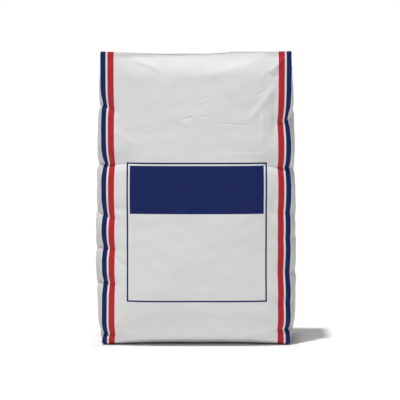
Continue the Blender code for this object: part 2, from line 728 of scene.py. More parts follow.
class Signal:
    """A shader socket that can be used in Python expressions."""

    def __init__(self, bench: "Bench", socket: bpy.types.NodeSocket | None) -> None:
        """Wrap an output socket of a bench's node tree."""
        self.bench = bench
        self.socket = socket

    def _with(self, operation: str, *values: "Signal | float") -> "Signal":
        """Add a Math node on values in the order given."""
        inputs = dict(enumerate(values))
        return self.bench.node("ShaderNodeMath", {"operation": operation}, inputs)

    def __add__(self, other: "Signal | float") -> "Signal":
        """Sum of two values."""
        return self._with("ADD", self, other)

    __radd__ = __add__

    def __sub__(self, other: "Signal | float") -> "Signal":
        """Difference of two values."""
        return self._with("SUBTRACT", self, other)

    def __rsub__(self, other: float) -> "Signal":
        """Difference from a plain number."""
        return self._with("SUBTRACT", other, self)

    def __mul__(self, other: "Signal | float") -> "Signal":
        """Product of two values."""
        return self._with("MULTIPLY", self, other)

    __rmul__ = __mul__

    def __truediv__(self, other: "Signal | float") -> "Signal":
        """Quotient of two values."""
        return self._with("DIVIDE", self, other)

    def __abs__(self) -> "Signal":
        """Size of a value without its sign."""
        return self._with("ABSOLUTE", self)

    def __round__(self) -> "Signal":
        """The nearest whole number."""
        return self._with("ROUND", self)

    def most(self, other: "Signal | float") -> "Signal":
        """The greater of two values."""
        return self._with("MAXIMUM", self, other)

    def rise(self, low: float, high: float) -> "Signal":
        """Rise smoothly from 0 to 1 between two values."""
        inputs = {"Value": self, "From Min": low, "From Max": high}
        return self.bench.node("ShaderNodeMapRange", {"interpolation_type": "SMOOTHSTEP"}, inputs)

    def band(self, low: float, high: float, soft: float) -> "Signal":
        """1 between two values and 0 outside, with edges of a given softness."""
        return self.rise(low - soft, low + soft) * (1 - self.rise(high - soft, high + soft))


@dataclass(frozen=True)
class Grain:
    """Noise of one size, and what a surface gets from it.

    Attributes:
        scale: Rises for each metre.
        detail: Finer layers that are added to it.
        rough: Strength of those layers.
        stretch: How densely it is packed along each axis, if not evenly.
        shade: Brightness of the colour where it is lowest and where it is highest.
        relief: Height in metres from the one to the other.
    """

    scale: float
    detail: float = 3.0
    rough: float = 0.5
    stretch: tuple[float, float, float] | None = None
    shade: Range = (1.0, 1.0)
    relief: float = 0.0


class Bench:
    """A node tree, and the one way in which nodes are added to it."""

    def __init__(self, tree: bpy.types.NodeTree) -> None:
        """Work on a node tree that is there already."""
        self.tree = tree

    def node(
        self,
        kind: str,
        settings: dict[str, Any] | None = None,
        inputs: dict[str | int, Any] | None = None,
        output: str | int = 0,
    ) -> Signal:
        """Add a node.

        Args:
            kind: The node's type.
            settings: Its properties, set before anything else.
            inputs: Values or signals for its sockets, by name or number.
            output: The output that is handed back.

        Returns:
            That output.
        """
        made = self.tree.nodes.new(kind)
        for name, value in (settings or {}).items():
            setattr(made, name, value)
        for name, value in (inputs or {}).items():
            if isinstance(value, Signal):
                self.tree.links.new(value.socket, made.inputs[name])
            else:
                made.inputs[name].default_value = value
        return Signal(self, made.outputs[output] if len(made.outputs) else None)

    def place(self) -> Signal:
        """Object coordinates, which stay with the piece."""
        return self.node("ShaderNodeTexCoord", output="Object")

    def axis(self, where: Signal, name: str) -> Signal:
        """One axis of a place."""
        return self.node("ShaderNodeSeparateXYZ", inputs={0: where}, output=name)

    def noise(self, where: Signal, grain: Grain) -> Signal:
        """Make noise from 0 to 1.

        Args:
            where: The place that it is read at.
            grain: The noise's size.

        Returns:
            The noise.
        """
        if grain.stretch is not None:
            inputs = {"Vector": where, "Scale": grain.stretch}
            where = self.node("ShaderNodeMapping", inputs=inputs)
        size = {"Scale": grain.scale, "Detail": grain.detail, "Roughness": grain.rough}
        return self.node("ShaderNodeTexNoise", inputs={"Vector": where, **size}, output="Fac")

    def mix(self, share: Signal, one: Signal | Colour, other: Signal | Colour) -> Signal:
        """Mix two colours.

        Args:
            share: How much there is of the other colour.
            one: The colour at share 0.
            other: The colour at share 1.

        Returns:
            The mixed colour.
        """
        settings = {"data_type": "RGBA"}
        # The Mix node's colour sockets come after its number and vector ones
        inputs = {0: share, 6: one, 7: other}
        return self.node("ShaderNodeMix", settings, inputs, output=2)

    def shade(self, signal: Signal, between: Range) -> Signal:
        """A grey between two brightnesses."""
        low, high = between
        return self.mix(signal, (low, low, low, 1), (high, high, high, 1))

    def tint(self, colour: Signal | Colour, signal: Signal, between: Range) -> Signal:
        """Vary a colour's brightness.

        Args:
            colour: The colour.
            signal: What it varies by, from 0 to 1.
            between: Its brightness at 0 and at 1.

        Returns:
            The varied colour.
        """
        settings = {"data_type": "RGBA", "blend_type": "MULTIPLY"}
        inputs = {0: 1.0, 6: colour, 7: self.shade(signal, between)}
        return self.node("ShaderNodeMix", settings, inputs, output=2)

    def relief(self, height: Signal, distance: float, under: Signal | None = None) -> Signal:
        """A bumped normal.

        Args:
            height: The relief, from 0 to 1.
            distance: Its full height in metres.
            under: A normal that it is added to.

        Returns:
            The normal.
        """
        inputs: dict[str | int, Any] = {"Height": height, "Distance": distance, "Strength": 1.0}
        if under is not None:
            inputs["Normal"] = under
        return self.node("ShaderNodeBump", inputs=inputs)


class MaterialBench(Bench):
    """The node tree of one material."""

    def __init__(self, name: str) -> None:
        """Make a material with an empty tree.

        Args:
            name: The material's name.
        """
        self.material = bpy.data.materials.new(name)
        self.material.use_nodes = True
        super().__init__(self.material.node_tree)
        self.tree.nodes.clear()

    def finish(self, inputs: dict[str | int, Any]) -> bpy.types.Material:
        """Close the tree with a Principled shader.

        Args:
            inputs: The shader's values and links.

        Returns:
            The material.
        """
        shader = self.node("ShaderNodeBsdfPrincipled", inputs=inputs)
        self.node("ShaderNodeOutputMaterial", inputs={"Surface": shader})
        return self.material


# Finishes


@dataclass(frozen=True)
class Print:
    """Where the ink lies on the paper, in metres on the flat sheet.

    Attributes:
        crease: Distance of the creases from the middle of a wide face.
        navy_stripe: Width of the stripe along the crease.
        gap: Width of the white between the stripes.
        red_stripe: Width of the inner stripe.
        panel_left: Left edge of the framed panel.
        panel_right: Its right edge.
        panel_low: Its lower edge.
        panel_high: Its upper edge.
        line: Thickness of the frame's line.
        inset: Distance of the solid block from the frame's outer edge.
        block_low: Lower edge of the solid block.
        soft: How softly the ink's edges end.
        turn: Distance past the crease over which the narrow side begins.
    """

    crease: float = 0.194
    navy_stripe: float = 0.0106
    gap: float = 0.0038
    red_stripe: float = 0.0126
    panel_left: float = -0.1418
    panel_right: float = 0.1442
    panel_low: float = 0.0914
    panel_high: float = 0.3772
    line: float = 0.0033
    inset: float = 0.0066
    block_low: float = 0.2724
    soft: float = 0.00025
    turn: float = 0.006

    def masks(self, bench: Bench) -> tuple[Signal, Signal, Signal]:
        """Build the two inks' masks.

        Args:
            bench: The node tree to build them in.

        Returns:
            The navy mask, the red mask and the mask of the narrow sides.
        """
        flat = bench.node("ShaderNodeUVMap", {"uv_map": PAPER_MAP})
        along, height = bench.axis(flat, "X"), bench.axis(flat, "Y")
        middle = along - round(along / GIRTH_HALF) * GIRTH_HALF
        aside = abs(middle)
        navy_inner = self.crease - self.navy_stripe
        red_outer = navy_inner - self.gap
        stripe = aside.band(navy_inner, self.crease, self.soft)
        red = aside.band(red_outer - self.red_stripe, red_outer, self.soft)
        outer = self._panel(middle, height, 0.0, self.panel_low)
        inner = self._panel(middle, height, self.line, self.panel_low + self.line)
        block = self._panel(middle, height, self.inset, self.block_low)
        navy = stripe.most(outer - inner).most(block)
        return navy, red, aside.rise(self.crease, self.crease + self.turn)

    def _panel(self, along: Signal, height: Signal, inside: float, low: float) -> Signal:
        """The panel's area above a height, taken in by a distance at its other edges."""
        wide = along.band(self.panel_left + inside, self.panel_right - inside, self.soft)
        return wide * height.band(low, self.panel_high - inside, self.soft)


@dataclass(frozen=True)
class PrintedPaper:
    """Satin coated white sack paper with its print, its narrow sides darkened partly by dust and partly by painted
    shade.

    Attributes:
        ink: Where the ink lies.
        white: Colour of the bare paper.
        side_dust_and_shade: Colour that the narrow sides are darkened towards, partly dust and partly painted shade.
        navy: Colour of the navy ink.
        red: Colour of the red ink.
        cloud: Soft unevenness of the coating.
        fibre: The paper's fibres.
        wrinkle: Fine wrinkles.
        dust_and_shade_grain: Where the narrow sides are darkened more, by dust and painted shade.
        dust_and_shade_least: Least share of that darker colour there.
        dust_and_shade_more: What the noise adds to it.
        ink_wear: Brightness of the ink between and on the fibres.
        rough: Roughness of the coating.
        cloud_rough: What its unevenness adds to that.
        fibre_rough: What the fibres add.
        ink_smooth: What the ink takes away.
        gloss: Strength of the coating's reflection.
    """

    ink: Print = Print()
    white: Colour = (0.680, 0.680, 0.671, 1)
    # Colour of the dust and painted shade that darken the narrow sides
    side_dust_and_shade: Colour = (0.40, 0.395, 0.380, 1)
    navy: Colour = (0.003, 0.012, 0.092, 1)
    red: Colour = (0.43, 0.016, 0.026, 1)
    cloud: Grain = Grain(9.0, shade=(0.965, 1.02))
    fibre: Grain = Grain(900.0, 2.0, 0.5, (1.0, 1.0, 0.35), shade=(0.985, 1.01), relief=0.00003)
    wrinkle: Grain = Grain(34.0, 5.0, 0.55, (1.0, 1.0, 0.7), relief=0.0009)
    dust_and_shade_grain: Grain = Grain(26.0, 4.0, 0.6, (1.0, 1.0, 0.5))
    dust_and_shade_least: float = 0.05
    dust_and_shade_more: float = 0.4
    ink_wear: Range = (0.92, 1.1)
    rough: float = 0.46
    cloud_rough: float = 0.08
    fibre_rough: float = 0.05
    ink_smooth: float = 0.06
    gloss: float = 0.16

    def material(self) -> bpy.types.Material:
        """Build the finish.

        Returns:
            The material.
        """
        bench = MaterialBench("printed_paper")
        where = bench.place()
        navy, red, side = self.ink.masks(bench)
        cloud, fibre = bench.noise(where, self.cloud), bench.noise(where, self.fibre)
        wrinkle, dust_and_shade_noise = bench.noise(where, self.wrinkle), bench.noise(where, self.dust_and_shade_grain)
        paper = bench.tint(self.white, cloud, self.cloud.shade)
        paper = bench.tint(paper, fibre, self.fibre.shade)
        # Darken the narrow sides, partly with dust and partly with painted shade
        paper = bench.mix(side * (dust_and_shade_noise * self.dust_and_shade_more + self.dust_and_shade_least), paper, self.side_dust_and_shade)
        colour = bench.mix(navy, paper, bench.tint(self.navy, fibre, self.ink_wear))
        colour = bench.mix(red, colour, bench.tint(self.red, fibre, self.ink_wear))
        normal = bench.relief(wrinkle, self.wrinkle.relief)
        normal = bench.relief(fibre, self.fibre.relief, normal)
        rough = self.rough + cloud * self.cloud_rough + fibre * self.fibre_rough
        rough = rough - navy * self.ink_smooth - red * self.ink_smooth
        shader = {"Base Color": colour, "Roughness": rough, "Normal": normal}
        return bench.finish({**shader, "Specular IOR Level": self.gloss})


@dataclass(frozen=True)
class SheetPaper:
    """Uncoated white paper of the cover sheets.

    Attributes:
        white: Colour of the paper.
        cloud: Soft unevenness of its colour.
        fibre: Its fibres.
        glue: Unevenness of the glue under it.
        rough: Roughness between the fibres.
        fibre_rough: What the fibres add to it.
    """

    white: Colour = (0.60, 0.595, 0.572, 1)
    cloud: Grain = Grain(16.0, 4.0, shade=(0.95, 1.03))
    fibre: Grain = Grain(1100.0, 3.0, 0.5, (0.3, 1.0, 1.0), shade=(0.96, 1.02), relief=0.00005)
    glue: Grain = Grain(60.0, 4.0, 0.6, relief=0.0004)
    rough: float = 0.68
    fibre_rough: float = 0.12

    def material(self) -> bpy.types.Material:
        """Build the finish.

        Returns:
            The material.
        """
        bench = MaterialBench("sheet_paper")
        where = bench.place()
        fibre = bench.noise(where, self.fibre)
        colour = bench.tint(self.white, bench.noise(where, self.cloud), self.cloud.shade)
        colour = bench.tint(colour, fibre, self.fibre.shade)
        normal = bench.relief(bench.noise(where, self.glue), self.glue.relief)
        normal = bench.relief(fibre, self.fibre.relief, normal)
        rough = self.rough + fibre * self.fibre_rough
        return bench.finish({"Base Color": colour, "Roughness": rough, "Normal": normal})


@dataclass(frozen=True)
class KraftPaper:
    """Brown kraft paper of the valve sleeve.

    Attributes:
        brown: Colour between the fibres.
        dark: Colour of the fibres.
        fibre: The fibres.
        fibre_edge: Noise between which a fibre begins.
        cloud: Soft unevenness of the colour.
        rough: Roughness between the fibres.
        fibre_rough: What the fibres add to it.
    """

    brown: Colour = (0.42, 0.27, 0.155, 1)
    dark: Colour = (0.30, 0.19, 0.11, 1)
    fibre: Grain = Grain(700.0, 4.0, 0.6, (0.25, 1.0, 1.0), relief=0.00008)
    fibre_edge: Range = (0.35, 0.75)
    cloud: Grain = Grain(40.0, shade=(0.9, 1.08))
    rough: float = 0.78
    fibre_rough: float = 0.12

    def material(self) -> bpy.types.Material:
        """Build the finish.

        Returns:
            The material.
        """
        bench = MaterialBench("kraft_paper")
        where = bench.place()
        fibre = bench.noise(where, self.fibre)
        colour = bench.mix(fibre.rise(*self.fibre_edge), self.brown, self.dark)
        colour = bench.tint(colour, bench.noise(where, self.cloud), self.cloud.shade)
        normal = bench.relief(fibre, self.fibre.relief)
        rough = self.rough + fibre * self.fibre_rough
        return bench.finish({"Base Color": colour, "Roughness": rough, "Normal": normal})


@dataclass(frozen=True)
class CementPowder:
    """Packed grey cement.

    Attributes:
        pale: Colour of the loose powder.
        dark: Colour of the lumps.
        grain: The powder's grains.
        lump: The lumps.
        lump_edge: Noise between which a lump begins.
        rough: Roughness of the powder.
    """

    pale: Colour = (0.44, 0.44, 0.43, 1)
    dark: Colour = (0.34, 0.34, 0.33, 1)
    grain: Grain = Grain(1500.0, 4.0, 0.7, shade=(0.9, 1.08), relief=0.0001)
    lump: Grain = Grain(70.0, 6.0, 0.6, relief=0.002)
    lump_edge: Range = (0.3, 0.7)
    rough: float = 0.95

    def material(self) -> bpy.types.Material:
        """Build the finish.

        Returns:
            The material.
        """
        bench = MaterialBench("cement_powder")
        where = bench.place()
        grain, lump = bench.noise(where, self.grain), bench.noise(where, self.lump)
        colour = bench.mix(lump.rise(*self.lump_edge), self.pale, self.dark)
        colour = bench.tint(colour, grain, self.grain.shade)
        normal = bench.relief(grain, self.grain.relief, bench.relief(lump, self.lump.relief))
        return bench.finish({"Base Color": colour, "Roughness": self.rough, "Normal": normal})


@dataclass(frozen=True)
class PaleFloor:
    """Plain pale studio floor that glows with painted light, faded to a painted shadow round what stands on it.

    Attributes:
        half_length: Half the length of what stands on it.
        half_width: Half its width.
        white: The floor's colour.
        cloud: Soft unevenness of that colour.
        rough: The floor's roughness.
        painted_floor_light: Strength of the painted light that the floor glows with.
        painted_shadow_width: Distance over which that painted light fades towards the object, leaving a painted shadow
            round it.
    """

    half_length: float
    half_width: float
    white: Colour = (0.69, 0.69, 0.69, 1)
    cloud: Grain = Grain(3.0, 2.0, shade=(0.995, 1.005))
    rough: float = 0.7
    # The floor's glow is painted light; it fades to a painted shadow near the object
    painted_floor_light: float = 0.150
    painted_shadow_width: float = 0.045

    def material(self) -> bpy.types.Material:
        """Build the finish.

        Returns:
            The material.
        """
        bench = MaterialBench("pale_floor")
        where = bench.place()
        colour = bench.tint(self.white, bench.noise(where, self.cloud), self.cloud.shade)
        # Painted light over the floor, faded out near the object into a painted shadow
        past_end = abs(bench.axis(where, "X")) - self.half_length
        past_side = abs(bench.axis(where, "Y")) - self.half_width
        painted_floor_light = bench.shade(past_end.most(past_side).rise(0.0, self.painted_shadow_width), (0.0, 1.0))
        light = {"Emission Color": painted_floor_light, "Emission Strength": self.painted_floor_light}
        return bench.finish({"Base Color": colour, "Roughness": self.rough, **light})


# Mesh tools


def deselect_all() -> None:
    """Leave nothing selected, so that an operator acts only on what comes next."""
    for found in bpy.context.selected_objects:
        found.select_set(False)


def make_active(piece: bpy.types.Object) -> None:
    """Select one piece alone and make it the active one.

    Args:
        piece: The piece.
    """
    deselect_all()
    piece.select_set(True)
    bpy.context.view_layer.objects.active = piece


def apply_modifiers(piece: bpy.types.Object) -> None:
    """Apply all of a piece's modifiers in order.

    Args:
        piece: The piece.
    """
    make_active(piece)
    for name in [modifier.name for modifier in piece.modifiers]:
        bpy.ops.object.modifier_apply(modifier=name)


def edit_faces(piece: bpy.types.Object, chosen: FaceTest) -> None:
    """Open a piece in edit mode with some of its faces selected.

    Args:
        piece: The piece.
        chosen: Tells whether a face is one of them.
    """
    make_active(piece)
    bpy.ops.object.mode_set(mode="EDIT")
    bpy.ops.mesh.select_mode(type="FACE")
    bpy.ops.mesh.select_all(action="DESELECT")
    bpy.ops.object.mode_set(mode="OBJECT")
    for face in piece.data.polygons:
        face.select = chosen(face)
    bpy.ops.object.mode_set(mode="EDIT")


def unit_cube(name: str) -> bpy.types.Object:
    """Add a cube of one metre round the origin, to be shaped into a piece.

    Args:
        name: The piece's name.

    Returns:
        The cube.
    """
    deselect_all()
    bpy.ops.mesh.primitive_cube_add(size=1)
    piece = bpy.context.active_object
    piece.name = piece.data.name = name
    return piece


def positions(mesh: bpy.types.Mesh) -> np.ndarray:
    """Read a mesh's points.

    Args:
        mesh: The mesh.

    Returns:
        Their positions, one row for each point.
    """
    flat = np.empty(len(mesh.vertices) * 3, dtype=np.float32)
    mesh.vertices.foreach_get("co", flat)
    return flat.reshape(-1, 3).astype(float)


def set_positions(mesh: bpy.types.Mesh, points: np.ndarray) -> None:
    """Write a mesh's points, one row each."""
    mesh.vertices.foreach_set("co", points.astype(np.float32).ravel())
    mesh.update()


def normals(mesh: bpy.types.Mesh) -> np.ndarray:
    """Read the normals at a mesh's points.

    Args:
        mesh: The mesh.

    Returns:
        The normals, one row for each point.
    """
    flat = np.empty(len(mesh.vertices) * 3, dtype=np.float32)
    mesh.vertex_normals.foreach_get("vector", flat)
    return flat.reshape(-1, 3).astype(float)


def read_attribute(mesh: bpy.types.Mesh, name: str) -> np.ndarray:
    """Read a number that is stored at every point of a mesh.

    Args:
        mesh: The mesh.
        name: The number's name.

    Returns:
        One number for each point.
    """
    flat = np.empty(len(mesh.vertices), dtype=np.float32)
    mesh.attributes[name].data.foreach_get("value", flat)
    return flat.astype(float)


def write_attribute(mesh: bpy.types.Mesh, name: str, values: np.ndarray) -> None:
    """Store a number at every point of a mesh."""
    store = mesh.attributes.get(name) or mesh.attributes.new(name, "FLOAT", "POINT")
    store.data.foreach_set("value", values.astype(np.float32))


def read_places(mesh: bpy.types.Mesh) -> Places:
    """Read where the points of a mesh lie on the block."""
    return Places(*(read_attribute(mesh, name) for name in PLACE_NAMES))


def copy_of(piece: bpy.types.Object, name: str) -> bpy.types.Object:
    """Copy a piece with a mesh of its own.

    Args:
        piece: The piece.
        name: The copy's name.

    Returns:
        The copy.
    """
    made = piece.copy()
    made.data = piece.data.copy()
    made.name = made.data.name = name
    bpy.context.scene.collection.objects.link(made)
    return made


def clear_places(piece: bpy.types.Object) -> None:
    """Drop the working attributes from a finished piece.

    Args:
        piece: The piece.
    """
    for name in PLACE_NAMES:
        store = piece.data.attributes.get(name)
        if store is not None:
            piece.data.attributes.remove(store)


def settle(piece: bpy.types.Object, material: bpy.types.Material, slot: str) -> None:
    """Give a finished piece its material, its record slot and its body.

    Args:
        piece: The piece.
        material: Its finish.
        slot: The record's name for the finish.
    """
    piece.data.materials.clear()
    piece.data.materials.append(material)
    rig.slot(piece, slot)
    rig.ride(piece, ROOT)
    LOG.info("%s: %d faces", piece.name, len(piece.data.polygons))


# The bag


@dataclass
class Sack:
    """The printed paper tube with both its ends folded shut.

    Attributes:
        form: The filled form that it is laid over.
        face_cells: Cells across a wide face.
        side_cells: Cells across a narrow side.
        rows: Cells up the height.
        crowding: How much the cells crowd towards the creases.
        puckers: The pinches in its creases.
        folds: The folds in its walls.
        unevenness: Soft unevenness of its walls.
        tension: How its walls settle.
        calm: Height above the floor up to which the unevenness grows.
        fine_height: Distance from a pinch or a fine fold within which the cells are finer.
        level: How squarely a face looks up or down to belong to an end.
        tightness: How tightly the sack is filled, from 0 to 1.
    """

    form: FilledForm
    face_cells: int = 52
    side_cells: int = 20
    rows: int = 112
    crowding: float = 0.55
    puckers: list[Pucker] = field(default_factory=list)
    folds: list[Fold] = field(default_factory=list)
    unevenness: list[Undulation] = field(default_factory=list)
    tension: PaperTension = field(default_factory=PaperTension)
    calm: float = 0.03
    fine_height: float = 0.005
    level: float = 0.75
    tightness: float = 0.95

    def build(self) -> bpy.types.Object:
        """Build the sack's paper.

        Returns:
            The finished mesh, without its material.
        """
        piece = self._cage()
        mesh = piece.data
        places = read_places(mesh)
        flat = self.form.points(places)
        points = flat.copy()
        for pucker in self.puckers:
            points += pucker.moves(places, self.form)
        tube = self._tube(places)
        creases = [0, self.face_cells, self.face_cells + self.side_cells]
        creases.append(creases[-1] + self.face_cells)
        points[tube] = self.tension.relax(flat[tube], points[tube], creases)
        set_positions(mesh, points)
        self._lay_out(piece)
        return piece

    def _tube(self, places: Places) -> np.ndarray:
        """Number the walls' points by row and by place round the tube.

        Args:
            places: Where the points lie on the block.

        Returns:
            Point numbers, one line for each row, starting at the front left crease.
        """
        front, right = places.on(Wall.FRONT), places.on(Wall.RIGHT)
        back, left = places.on(Wall.BACK), places.on(Wall.LEFT)
        share = np.full(len(places.up), np.nan)
        share[left] = 3 + (1 - places.deep[left]) / 2
        share[back] = 2 + (1 - places.across[back]) / 2
        share[right] = 1 + (places.deep[right] + 1) / 2
        share[front] = (places.across[front] + 1) / 2
        walls = np.flatnonzero(~np.isnan(share))
        row = np.round(places.up[walls] * self.rows)
        order = walls[np.lexsort((share[walls], row))]
        return order.reshape(self.rows + 1, -1)

    def refine(self, piece: bpy.types.Object) -> None:
        """Halve the cells and press the fine folds into them.

        Args:
            piece: The sack's mesh.
        """
        halve = piece.modifiers.new("halve", "SUBSURF")
        halve.levels = 1
        halve.render_levels = 1
        halve.boundary_smooth = "PRESERVE_CORNERS"
        apply_modifiers(piece)
        self._divide_pinches(piece)
        self.press(piece.data)
        piece.data.shade_smooth()

    def _divide_pinches(self, piece: bpy.types.Object) -> None:
        """Divide the cells along the pinches and the fine folds once more.

        Args:
            piece: The sack's mesh.
        """
        mesh = piece.data
        places = read_places(mesh)
        near = np.zeros(len(places.up), dtype=bool)
        for pucker in self.puckers:
            near |= pucker.near(places, self.form, self.fine_height)
        for fold in (fold for fold in self.folds if fold.fine):
            near |= fold.near(positions(mesh), places, self.fine_height)
        edit_faces(piece, lambda face: any(near[corner] for corner in face.vertices))
        bpy.ops.mesh.subdivide(number_cuts=1)
        bpy.ops.object.mode_set(mode="OBJECT")

    def press(self, mesh: bpy.types.Mesh) -> None:
        """Press the folds and the unevenness of the filling into a mesh of the sack.

        Args:
            mesh: The mesh, with its places stored.
        """
        places = read_places(mesh)
        points = positions(mesh)
        moves = np.zeros_like(points)
        for fold in self.folds:
            moves += fold.moves(points, places, self.form)
        for pucker in self.puckers:
            moves += pucker.nicks(places, self.form)
        loose = np.clip(places.up * self.form.height / self.calm, 0, 1)
        outward = normals(mesh)
        for wave in self.unevenness:
            moves += outward * (wave.amounts(points) * loose)[:, None]
        set_positions(mesh, points + moves)

    def _cage(self) -> bpy.types.Object:
        """Cut a unit box into cells, and store each point's place on it.

        Returns:
            The box.
        """
        piece = unit_cube("sack_paper")
        spans = (
            self._crowded(self.face_cells),
            self._crowded(self.side_cells),
            [row / self.rows - 0.5 for row in range(1, self.rows)],
        )
        bpy.ops.object.mode_set(mode="EDIT")
        for axis, cuts in enumerate(spans):
            direction = Vector([float(axis == index) for index in range(3)])
            for cut in cuts:
                bpy.ops.mesh.select_all(action="SELECT")
                bpy.ops.mesh.bisect(plane_co=direction * cut, plane_no=direction)
        bpy.ops.object.mode_set(mode="OBJECT")
        flat = positions(piece.data)
        shares = (2 * flat[:, 0], 2 * flat[:, 1], flat[:, 2] + 0.5)
        for name, values in zip(PLACE_NAMES, shares):
            write_attribute(piece.data, name, values)
        return piece

    def _crowded(self, count: int) -> list[float]:
        """Cut a unit span into cells that crowd towards its two ends.

        Args:
            count: How many cells there are.

        Returns:
            The places of the cuts, from -0.5 to 0.5.
        """
        shares = [2 * step / count - 1 for step in range(1, count)]
        even = 1 - self.crowding
        bent = [even * s + self.crowding * math.sin(s * math.pi / 2) for s in shares]
        return [place / 2 for place in bent]

    def clear_ends(self, piece: bpy.types.Object) -> None:
        """Take the print off the closed ends, which the unprinted short flaps face.

        Args:
            piece: The finished sack, after its long flaps are copied from it.
        """
        mesh = piece.data
        places = read_places(mesh)
        ends = places.on(Wall.TOP) | places.on(Wall.BOTTOM)
        layer = mesh.uv_layers[PAPER_MAP]
        for face in mesh.polygons:
            if all(ends[corner] for corner in face.vertices):
                for corner in face.loop_indices:
                    layer.data[corner].uv = (GIRTH_HALF / 2, 0.0)

    def _lay_out(self, piece: bpy.types.Object) -> None:
        """Store every face's place on the flat sheet in a UV map.

        Along the sheet, the front's middle is at 0 and the back's half the girth later,
        with a narrow side on either hand of each. Up the sheet is the height, and the
        long flaps of the folded ends go on past it.

        Args:
            piece: The sack's mesh.
        """
        mesh = piece.data
        places = read_places(mesh)
        layer = mesh.uv_layers.get(PAPER_MAP) or mesh.uv_layers.new(name=PAPER_MAP)
        half_face, half_side = self.form.half_face, self.form.half_side
        for face in mesh.polygons:
            corners = np.array(face.vertices)
            across, deep = places.across[corners], places.deep[corners]
            up = places.up[corners] * self.form.height
            to_face = (1 - np.abs(deep)) * half_side
            on_end = abs(face.normal.z) > self.level and np.ptp(places.up[corners]) < SAME_PLACE
            if on_end:
                up = up + np.sign(up.mean() - self.form.height / 2) * to_face
            if on_end or np.ptp(deep) < SAME_PLACE:
                along = across * half_face + (GIRTH_HALF if deep.mean() > 0 else 0.0)
            else:
                along = np.sign(across.mean()) * (half_face + half_side + deep * half_side)
            for corner, u, v in zip(face.loop_indices, along, up):
                layer.data[corner].uv = (u, v)


@dataclass
class CementFill:
    """The powder, packed against the paper, with a little room under the top.

    Attributes:
        gap: Distance kept from the paper.
        headspace: Empty height under the top.
        reach: Height over which the walls make up for the headspace.
        squareness: How much of the gap is kept for the outer layer.
    """

    gap: float = 0.0035
    headspace: float = 0.010
    reach: float = 0.08
    squareness: float = 6.0

    def build(self, paper: bpy.types.Object, sack: Sack) -> bpy.types.Object:
        """Build the filling from a copy of the sack's coarse mesh.

        Args:
            paper: The sack before its cells are halved.
            sack: What the sack was built by.

        Returns:
            The finished mesh, without its material.
        """
        piece = copy_of(paper, "cement_fill")
        mesh = piece.data
        sack.press(mesh)
        places = read_places(mesh)
        spans = np.stack([places.across, places.deep, 2 * places.up - 1], axis=1)
        points = positions(mesh) - self.gap * spans * np.abs(spans) ** self.squareness
        top = sack.form.height
        points[:, 2] -= self.headspace * smooth_step(points[:, 2], top - self.reach, top)
        set_positions(mesh, points)
        mesh.shade_smooth()
        clear_places(piece)
        return piece


@dataclass(frozen=True)
class Cut:
    """A straight cut through a sheet.

    Attributes:
        through: A point on the cut.
        away: The direction in which everything is cut away.
    """

    through: tuple[float, float, float]
    away: tuple[float, float, float]


@dataclass
class GluedSheet:
    """A sheet of paper that lies on one wall of the sack and follows it.

    Attributes:
        name: The piece's name.
        wall: The wall that it lies on.
        cuts: Cuts that give it its outline.
        lift: Distance from the wall to the sheet.
        ply: Thickness of the sheet.
        rises_from: Distance of every point from the line where the sheet leaves the
            wall, or nothing for a sheet that lies on top all over.
        rise: Distance over which it comes up to its full lift.
        seat: Share of its thickness that it is clear of the wall before it rises.
    """

    name: str
    wall: Wall
    cuts: list[Cut]
    lift: float
    ply: float
    rises_from: Callable[[np.ndarray], np.ndarray] | None = None
    rise: float = 0.008
    seat: float = 0.05

    def build(self, paper: bpy.types.Object) -> bpy.types.Object:
        """Cut the sheet out of a copy of the finished sack and lift it off the wall.

        Args:
            paper: The finished sack, with its places stored.

        Returns:
            The sheet's mesh, without its material.
        """
        piece = copy_of(paper, self.name)
        on_wall = read_places(piece.data).on(self.wall)
        edit_faces(piece, lambda face: not all(on_wall[corner] for corner in face.vertices))
        bpy.ops.mesh.delete(type="FACE")
        for cut in self.cuts:
            bpy.ops.mesh.select_all(action="SELECT")
            bpy.ops.mesh.bisect(plane_co=cut.through, plane_no=cut.away, clear_outer=True)
        bpy.ops.object.mode_set(mode="OBJECT")
        mesh = piece.data
        points = positions(mesh)
        share = np.ones(len(points))
        if self.rises_from is not None:
            share = smooth_step(self.rises_from(points), 0, self.rise)
        away = self.seat * self.ply + share * self.lift
        set_positions(mesh, points + away[:, None] * self.wall.outward)
        thicken = piece.modifiers.new("ply", "SOLIDIFY")
        thicken.thickness = self.ply
        thicken.offset = 1.0
        apply_modifiers(piece)
        clear_places(piece)
        return piece


